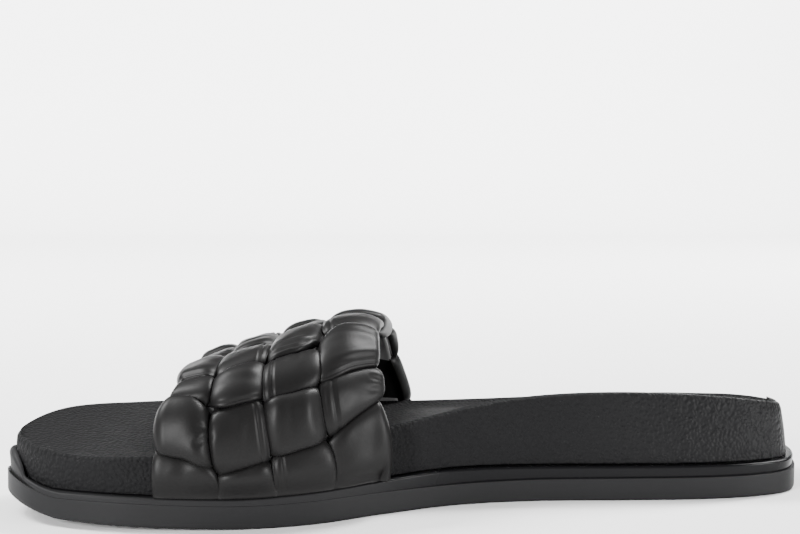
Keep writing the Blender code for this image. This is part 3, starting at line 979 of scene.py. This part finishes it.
def length_strand(surface, row, sizes):
    """Points and faces of a lengthwise strand, which turns under at the band's edges."""
    around = 84
    flat, high = section(around)
    fill = LENGTHWISE[row].fill
    top = sizes.lining + sizes.over * fill
    shares, heights, headings, edge = turned_end(top, sizes, surface.width)
    last = len(OVERS) - 1
    front_over = row % 2 == 1
    back_over = (last + row) % 2 == 1
    main = np.linspace(edge if front_over else 0.03, 1 - edge if back_over else 0.97, 230)
    share = main
    height = np.full(len(main), np.nan)
    heading = np.zeros(len(main))
    if front_over:
        share = np.concatenate([shares[::-1], share])
        height = np.concatenate([heights[::-1], height])
        heading = np.concatenate([-headings[::-1], heading])
    if back_over:
        share = np.concatenate([share, 1 - shares])
        height = np.concatenate([height, heights])
        heading = np.concatenate([heading, headings])
    marks = row_marks(share[:, None] + 0 * flat)
    low, high_mark = marks[row], marks[row + 1]
    place = (low + high_mark) / 2 + flat * (high_mark - low) / 2
    borders = over_borders(np.clip(place, 0, 1))
    cell, phase = crossing_phase(share[:, None] + 0 * flat, borders)
    first, final = cell == 0, cell == last
    inward = np.where(first, np.maximum(phase, 0), np.where(final, np.minimum(phase, 0), phase))
    swell, pinch = swelling((cell + row) % 2 == 1, inward, flat)
    across = flat * (high_mark - low) / 2 * (length_width + swell_width * swell) * pinch
    place = (low + high_mark) / 2 + across
    at, seam = share[:, None] + 0 * flat, LENGTHWISE[row].seam
    centre, thick, relief = leather_height(
        surface, sizes, at, place, flat, high, swell, seam, fill, 31 + row
    )
    turned = np.abs(np.sin(heading / 2))[:, None]
    thick = thick * (1 - turned) + (sizes.turn_half * 0.95) * turned
    thick = np.where(np.abs(heading[:, None]) > 3.0, sizes.tuck_half, thick)
    given = np.isnan(height)[:, None]
    centre = np.where(given, centre, np.nan_to_num(height)[:, None])
    rise = high * thick + relief * (1 - turned)
    edge_front = read(EDGES, "place", "front", place) * np.clip(1 - share[:, None] / 0.2, 0, 1)
    edge_back = read(EDGES, "place", "back", place) * np.clip(share[:, None] / 0.2 - 4, 0, 1)
    over = share[:, None] + np.sin(heading)[:, None] * rise / surface.width
    over = over + edge_front + edge_back
    points = surface.point(over, place, centre + np.cos(heading)[:, None] * rise)
    points = keep_over_ledge(points)
    return points.reshape(-1, 3), tube_faces(len(share), around)


def make_strands(sizes, colours):
    """All strands of the band, each a padded piece of its own."""
    surface = BandSurface()
    material = band_leather(colours)
    made = [
        (f"strand_over_foot_{index + 1}", *over_strand(surface, index, sizes))
        for index in range(len(OVERS))
    ]
    made += [
        (f"strand_lengthwise_{row + 1}", *length_strand(surface, row, sizes))
        for row in range(len(LENGTHWISE))
    ]
    for name, points, faces in made:
        piece = new_piece(name, points, faces, material, "upper_leather", "upper")


def make_lining(sizes, colours):
    """The lining: a thin wall on the arch's inner face, open towards the foot."""
    surface = BandSurface()
    share = np.linspace(0.03, 0.97, 60)
    place = np.linspace(0.0, 1.0, 160)
    grid_share, grid_place = np.meshgrid(share, place, indexing="ij")
    inner = surface.point(grid_share, grid_place, np.full(grid_share.shape, 0.0))
    outer = surface.point(grid_share, grid_place, np.full(grid_share.shape, sizes.lining))
    rows, places = grid_share.shape
    points = np.concatenate([inner.reshape(-1, 3), outer.reshape(-1, 3)])
    shift = rows * places
    faces = []
    for i in range(rows - 1):
        for j in range(places - 1):
            a = i * places + j
            quad = (a, a + 1, a + places + 1, a + places)
            faces.append(quad)
            faces.append(tuple(v + shift for v in quad[::-1]))
    across = [(i * places + j, places) for i in range(rows - 1) for j in (0, places - 1)]
    over = [(i * places + j, 1) for j in range(places - 1) for i in (0, rows - 1)]
    for a, step in across + over:
        faces.append((a, a + step, a + step + shift, a + shift))
    points, material = keep_over_ledge(points), lining_cloth(colours)
    new_piece("band_lining", points, faces, material, "upper_leather", "upper")


def pleat_wave(loop):
    """The cover's small pleats round the toe and the heel: rounded puffs between narrow folds."""
    steps = np.linalg.norm(np.roll(loop, -1, 0) - loop, axis=1)
    run = np.cumsum(steps) / pleat_pitch
    puffs = np.abs(np.sin(pi * run + 0.9 * np.sin(run * 0.83) + 0.7 * np.sin(run * 0.37))) ** 0.5
    share = loop[:, 0] / shoe_length
    toe = np.clip((share - 0.88) / 0.08, 0, 1)
    heel = np.clip((0.13 - share) / 0.08, 0, 1)
    ends = np.maximum(toe, heel)
    return pleat_depth * (puffs - 1) * ends * ends * (3 - 2 * ends)


def pleat_share(share):
    """How strong the pleats are up the side: under the rim, and at the base."""
    return max(1 - abs(share - 0.93) / 0.20, 1 - abs(share - 0.06) / 0.12, 0)


def make_footbed(sizes, colours):
    """The wrapped footbed: leaning sides, a rolled rim, a dished bed and pleats at the ends."""
    stations = 620
    loop = base_loop(stations)
    base = welt_setback + welt_ledge
    count = 2 * stations
    lean = read(RIM, "along", "lean", loop[:, 0] / shoe_length) * rim_lean
    pleats = pleat_wave(loop)

    def side_ring(share, draw, tuck=0.0, drop=0.0):
        flat = inset(loop, base + lean * draw + tuck)
        low = ledge_top(flat[:, 0]) + piece_gap
        along = np.clip(flat[:, 0], 0, shoe_length)
        medial = side_at(along, False)
        lateral = side_at(along, True)
        across = np.clip((flat[:, 1] - medial) / np.maximum(lateral - medial, 1e-6), 0, 1)
        high = rim_at(along, False) * (1 - across) + rim_at(along, True) * across
        return np.column_stack([flat, low + (high - low) * share - drop])

    rings = [side_ring(0.0, 0.0, 0.0004, -0.00022), side_ring(0.0, 0.0, 0.0, -0.00020)]
    for share in SIDE_SHARES:
        belly = -sizes.side_belly * sin(pi * share)
        rings.append(side_ring(share, share, belly - pleats * pleat_share(share)))
    turn = sizes.rim_roll
    for angle in np.linspace(0, pi / 2, 8):
        fade = pleats * cos(angle) ** 2
        rings.append(
            side_ring(1.0, 1.0, turn * (1 - cos(angle)) - fade, turn * (1 - sin(angle)))
        )
    edge = rings[-1]
    points, faces = plate(rings, stations, top=False)
    points = list(points)
    rim_start = (len(rings) - 1) * count
    shares = np.linspace(-1, 1, 41)[1:-1]
    shares = np.sign(shares) * np.abs(shares) ** 0.7
    rows = {}
    for i in range(1, stations):
        left, right = edge[i], edge[count - i]
        for k, share in enumerate(shares):
            flat = left + (right - left) * (share + 1) / 2
            rows[i, k] = len(points)
            points.append((flat[0], flat[1], float(bed_height(flat[0], share))))
    last = len(shares) - 1
    for i in range(1, stations - 1):
        faces.append((rim_start + i, rim_start + i + 1, rows[i + 1, 0], rows[i, 0]))
        for k in range(last):
            faces.append((rows[i, k], rows[i + 1, k], rows[i + 1, k + 1], rows[i, k + 1]))
        end = rim_start + count - i
        faces.append((rows[i, last], rows[i + 1, last], end - 1, end))
    for tip, near in ((0, 1), (stations, stations - 1)):
        fan = [rim_start + near] + [rows[near, k] for k in range(last + 1)]
        fan.append(rim_start + count - near)
        for a, b in zip(fan, fan[1:]):
            faces.append((rim_start + tip, a, b))
    points, material = to_part(np.array(points)), pebbled_cover(colours)
    new_piece("footbed_cover", points, faces, material, "footbed_cover", "footbed")


def make_welt(sizes, colours):
    """The glossy welt with its rounded edge."""
    stations = 150
    loop = base_loop(stations)
    share = loop[:, 0] / shoe_length
    flush = np.clip((share - flush_start_share) / (flush_end_share - flush_start_share), 0, 1)
    flush = flush * np.clip((0.985 - share) / 0.02, 0, 1)
    setback = welt_setback * (1 - flush)
    foot = setback + sizes.welt_draw * (1 - flush)
    crest = lip_top(loop[:, 0])
    roll = sizes.welt_roll + lip_roll * (crest - ledge_top(loop[:, 0]))
    rings = [ring(loop, foot + 0.0010, sole_top), ring(loop, foot, sole_top, 0.00006)]
    for angle in np.linspace(pi / 2, 0, 8):
        draw = setback + roll * (1 - sin(angle))
        rings.append(ring(loop, draw, lambda along: crest, -roll * (1 - cos(angle))))
    rings.append(ring(loop, welt_setback + lip_width, ledge_top))
    points, faces = plate(rings, stations)
    material = welt_gloss(colours)
    piece = new_piece("welt_band", to_part(points), faces, material, "welt_gloss", "welt")
    piece.data.set_sharp_from_angle(angle=crisp_angle)


def keep_result(piece):
    """Replaces a piece's mesh by what its modifiers make of it, and removes them."""
    bpy.context.view_layer.update()
    made = piece.evaluated_get(bpy.context.evaluated_depsgraph_get())
    mesh = bpy.data.meshes.new_from_object(made)
    piece.modifiers.clear()
    piece.data = mesh


def bar_tree():
    """Geometry nodes that set a bar on every point, as large as the point's own size says."""
    tree = bpy.data.node_groups.new("tread_bars", "GeometryNodeTree")
    side = tree.interface
    side.new_socket("Points", in_out="INPUT", socket_type="NodeSocketGeometry")
    side.new_socket("Scale", in_out="INPUT", socket_type="NodeSocketFloat")
    side.new_socket("Material", in_out="INPUT", socket_type="NodeSocketMaterial")
    side.new_socket("Bars", in_out="OUTPUT", socket_type="NodeSocketGeometry")
    kinds = {
        "given": "NodeGroupInput",
        "points": "GeometryNodeMeshToPoints",
        "bar": "GeometryNodeMeshCube",
        "size": "GeometryNodeInputNamedAttribute",
        "scaled": "ShaderNodeVectorMath",
        "placed": "GeometryNodeInstanceOnPoints",
        "real": "GeometryNodeRealizeInstances",
        "painted": "GeometryNodeSetMaterial",
        "made": "NodeGroupOutput",
    }
    nodes = {name: tree.nodes.new(kind) for name, kind in kinds.items()}
    nodes["size"].data_type = "FLOAT_VECTOR"
    nodes["size"].inputs["Name"].default_value = "bar_size"
    nodes["scaled"].operation = "SCALE"
    wires = (
        ("given", "Points", "points", "Mesh"),
        ("points", "Points", "placed", "Points"),
        ("bar", "Mesh", "placed", "Instance"),
        ("size", "Attribute", "scaled", "Vector"),
        ("given", "Scale", "scaled", "Scale"),
        ("scaled", "Vector", "placed", "Scale"),
        ("placed", "Instances", "real", "Geometry"),
        ("real", "Geometry", "painted", "Geometry"),
        ("given", "Material", "painted", "Material"),
        ("painted", "Geometry", "made", "Bars"),
    )
    for start, out, end, into in wires:
        tree.links.new(nodes[start].outputs[out], nodes[end].inputs[into])
    return tree


def tread_cutter(material):
    """Bars that cut the tread's cross grooves and the fine cuts between them."""
    places, bars = [], []
    for tread in TREADS:
        count = int((tread.end - tread.start) * shoe_length / groove_pitch) + 1
        for i in range(count):
            for cut in CUTS[: len(CUTS) if i < count - 1 else 1]:
                along = tread.start * shoe_length + (i + cut.place) * groove_pitch
                low = side_at(along, False) + groove_margin
                high = side_at(along, True) - groove_margin
                places.append((along, (low + high) / 2, float(ground(along))))
                depth = 2 * groove_depth * cut.depth
                bars.append((groove_width * cut.width, high - low, depth))
    mesh = bpy.data.meshes.new("tread_places")
    mesh.from_pydata([tuple(map(float, p)) for p in to_part(np.array(places))], [], [])
    sizes = mesh.attributes.new("bar_size", "FLOAT_VECTOR", "POINT")
    sizes.data.foreach_set("vector", np.array(bars, float).ravel())
    cutter = bpy.data.objects.new("tread_cutter", mesh)
    bpy.context.scene.collection.objects.link(cutter)
    grown = cutter.modifiers.new("Bars", "NODES")
    grown.node_group = bar_tree()
    inputs = {
        item.name: item.identifier
        for item in grown.node_group.interface.items_tree
        if item.in_out == "INPUT"
    }
    grown[inputs["Scale"]] = 1.0
    grown[inputs["Material"]] = material
    keep_result(cutter)
    return cutter


def make_outsole(sizes, colours):
    """The rubber outsole with softened edges."""
    stations = 200
    loop = base_loop(stations)
    low, high = sizes.sole_bevel, sizes.sole_bevel * 0.15
    rings = []
    for angle in np.linspace(0, pi / 2, 5):
        rings.append(ring(loop, low * (1 - sin(angle)), ground, low * (1 - cos(angle))))
    edge = ring(loop, 0.0, sole_top, -high)
    rings += [rings[-1] + (edge - rings[-1]) * share for share in (0.1, 0.5, 0.9)]
    for angle in np.linspace(pi / 2, 0, 5):
        rings.append(ring(loop, high * (1 - sin(angle)), sole_top, -high * (1 - cos(angle))))
    points, faces = plate(rings, stations)
    material = sole_rubber(colours)
    points = to_part(points)
    piece = new_piece("rubber_outsole", points, faces, material, "outsole_rubber", "outsole")
    cutter = tread_cutter(material)
    cut = piece.modifiers.new("Tread", "BOOLEAN")
    cut.object = cutter
    cut.operation = "DIFFERENCE"
    cut.solver = "EXACT"
    keep_result(piece)
    bpy.data.objects.remove(cutter)
    piece.data.set_sharp_from_angle(angle=crisp_angle)


def make_camera():
    """The camera at the photograph's angle. The floor's origin falls on a chosen pixel."""
    azimuth = radians(camera_azimuth)
    elevation = radians(camera_elevation)
    back = Vector(
        (
            -sin(azimuth) * cos(elevation),
            -cos(azimuth) * cos(elevation),
            sin(elevation),
        )
    )
    focal = camera_pixels_per_metre * camera_distance
    forward = -back
    right = forward.cross(Vector((0, 0, 1))).normalized()
    up = right.cross(forward)
    shift_x = (shoe_middle_pixel[0] - PHOTO_SIZE[0] / 2) / focal
    shift_y = (shoe_middle_pixel[1] - PHOTO_SIZE[1] / 2) / focal
    aim = (forward - right * shift_x + up * shift_y).normalized()
    right = aim.cross(Vector((0, 0, 1))).normalized()
    up = right.cross(aim)
    roll = radians(camera_roll)
    rolled_right = right * cos(roll) + up * sin(roll)
    rolled_up = up * cos(roll) - right * sin(roll)
    turn = Matrix((rolled_right, rolled_up, -aim)).transposed().to_4x4()
    data = bpy.data.cameras.new("camera")
    data.sensor_width = 36.0
    data.lens = data.sensor_width * focal / PHOTO_SIZE[0]
    data.clip_start = 0.01
    data.clip_end = 50.0
    camera = bpy.data.objects.new("camera", data)
    camera.matrix_world = Matrix.Translation(back * camera_distance) @ turn
    bpy.context.scene.collection.objects.link(camera)
    bpy.context.scene.camera = camera


def area_light(name, place, target, size, power):
    """A soft rectangular light that looks at a point."""
    data = bpy.data.lights.new(name, "AREA")
    data.shape = "RECTANGLE"
    data.size, data.size_y = size
    data.energy = power
    light = bpy.data.objects.new(name, data)
    light.location = place
    heading = Vector(target) - Vector(place)
    light.rotation_euler = heading.to_track_quat("-Z", "Y").to_euler()
    bpy.context.scene.collection.objects.link(light)


def make_backdrop():
    """A pale floor that sweeps up into a backdrop."""
    finish = Finish("pale_floor", (0.90, 0.90, 0.90), specular=0.1, roughness=0.8)
    reach, back, radius, top = 3.0, 1.9, 0.35, 0.50
    run = [(-2.4, 0.0), (back, 0.0)]
    for angle in np.linspace(0, pi / 2, 25)[1:]:
        run.append((back + radius * sin(angle), radius * (1 - cos(angle))))
    run.append((back + radius, top))
    points = [(side, y, z) for y, z in run for side in (-reach, reach)]
    faces = [(2 * k, 2 * k + 1, 2 * k + 3, 2 * k + 2) for k in range(len(run) - 1)]
    mesh = bpy.data.meshes.new("backdrop")
    mesh.from_pydata(points, [], faces)
    mesh.shade_smooth()
    mesh.materials.append(finish.material)
    backdrop = bpy.data.objects.new("backdrop", mesh)
    bpy.context.scene.collection.objects.link(backdrop)


def make_stage():
    """The pale floor, the lights and the camera."""
    make_backdrop()
    world = bpy.data.worlds.new("studio")
    world.use_nodes = True
    background = world.node_tree.nodes["Background"]
    background.inputs["Color"].default_value = (1.0, 1.0, 1.0, 1)
    background.inputs["Strength"].default_value = world_strength
    bpy.context.scene.world = world
    for light in LIGHTS:
        area_light(*light)
    make_camera()


def length_property(name, description, default):
    """A length that a user would change."""
    return FloatProperty(name=name, description=description, default=default, unit="LENGTH")


class SlideSizes(bpy.types.PropertyGroup):
    """Sizes that a user would change."""

    lining: length_property("Lining", "Thickness of the band's lining", 0.0010)
    under: length_property(
        "Under height", "Height of a strand's middle over the lining where it dives", 0.0006
    )
    over: length_property(
        "Over height", "Height of a strand's middle over the lining where it lies on top", 0.0030
    )
    thin: length_property("Thin half", "Half thickness of a strand where it dives", 0.0009)
    thick: length_property("Thick half", "Half thickness of a strand where it lies on top", 0.0021)
    turn_half: length_property(
        "Turn half", "Half thickness of a strand where it turns round the band's edge", 0.0019
    )
    tuck_half: length_property(
        "Tuck half", "Half thickness of a strand's end under the band", 0.0007
    )
    tuck: length_property("Tuck", "Length of a strand's end under the band", 0.006)
    rim_roll: length_property("Rim roll", "Radius of the footbed's rolled rim", 0.0010)
    welt_roll: length_property("Welt roll", "Radius of the welt's upper edge", 0.0007)
    welt_draw: length_property(
        "Welt draw", "How far the welt's foot draws in under its upper edge", 0.0004
    )
    side_belly: length_property(
        "Side belly", "How far the footbed's side swells between ledge and rim", 0.0003
    )
    sole_bevel: length_property("Sole bevel", "Radius of the outsole's lower edge", 0.0009)


def colour_property(name, description, default):
    """A colour that a user would change."""
    return FloatVectorProperty(
        name=name, description=description, default=default, subtype="COLOR", min=0.0, max=1.0
    )


class SlideColours(bpy.types.PropertyGroup):
    """Colours that a user would change."""

    strands: colour_property("Strands", "Colour of the woven strands", (0.0065, 0.0063, 0.0063))
    # The lining's colour is lighter than its real dark tone: painted light for the band's inside.
    lining: colour_property("Lining", "Colour of the band's lining", (0.12, 0.12, 0.12))
    footbed: colour_property("Footbed", "Colour of the pebbled cover", (0.007, 0.007, 0.0074))
    welt: colour_property("Welt", "Colour of the welt", (0.005, 0.005, 0.0055))
    outsole: colour_property("Outsole", "Colour of the rubber", (0.0125, 0.0125, 0.013))


class PieceBuilder:
    """What the operators that build pieces have in common."""

    def execute(self, context):
        self.build(context.scene.slide_sizes, context.scene.slide_colours)
        return {"FINISHED"}


class SLIDE_OT_outsole(PieceBuilder, bpy.types.Operator):
    """Build the rubber outsole"""

    bl_idname = "slide.outsole"
    bl_label = "Outsole"
    build = staticmethod(make_outsole)


class SLIDE_OT_welt(PieceBuilder, bpy.types.Operator):
    """Build the glossy welt"""

    bl_idname = "slide.welt"
    bl_label = "Welt"
    build = staticmethod(make_welt)


class SLIDE_OT_footbed(PieceBuilder, bpy.types.Operator):
    """Build the pebbled footbed cover"""

    bl_idname = "slide.footbed"
    bl_label = "Footbed"
    build = staticmethod(make_footbed)


class SLIDE_OT_lining(PieceBuilder, bpy.types.Operator):
    """Build the band's lining"""

    bl_idname = "slide.lining"
    bl_label = "Lining"
    build = staticmethod(make_lining)


class SLIDE_OT_strands(PieceBuilder, bpy.types.Operator):
    """Build the padded woven strands"""

    bl_idname = "slide.strands"
    bl_label = "Woven strands"
    build = staticmethod(make_strands)


class SLIDE_OT_stage(bpy.types.Operator):
    """Build the floor, the lights and the camera"""

    bl_idname = "slide.stage"
    bl_label = "Stage"

    def execute(self, context):
        make_stage()
        return {"FINISHED"}


class SLIDE_PT_panel(bpy.types.Panel):
    """Sizes, colours and pieces of the slide"""

    bl_idname = "SLIDE_PT_panel"
    bl_label = "Slide"
    bl_space_type = "VIEW_3D"
    bl_region_type = "UI"
    bl_category = "Slide"

    def draw(self, context):
        for group in (context.scene.slide_sizes, context.scene.slide_colours):
            for name in group.__annotations__:
                self.layout.prop(group, name)
        for operator in OPERATORS:
            self.layout.operator(operator.bl_idname)


OPERATORS = (
    SLIDE_OT_stage,
    SLIDE_OT_outsole,
    SLIDE_OT_welt,
    SLIDE_OT_footbed,
    SLIDE_OT_lining,
    SLIDE_OT_strands,
)
CLASSES = (SlideSizes, SlideColours, *OPERATORS, SLIDE_PT_panel)


def register():
    for entry in CLASSES:
        bpy.utils.register_class(entry)
    bpy.types.Scene.slide_sizes = PointerProperty(type=SlideSizes)
    bpy.types.Scene.slide_colours = PointerProperty(type=SlideColours)


def unregister():
    del bpy.types.Scene.slide_sizes
    del bpy.types.Scene.slide_colours
    for entry in reversed(CLASSES):
        bpy.utils.unregister_class(entry)


def main():
    register()
    bpy.ops.slide.stage()
    bpy.ops.slide.outsole()
    bpy.ops.slide.welt()
    bpy.ops.slide.footbed()
    bpy.ops.slide.lining()
    bpy.ops.slide.strands()
    bpy.context.view_layer.update()


if __name__ == "__main__":
    main()
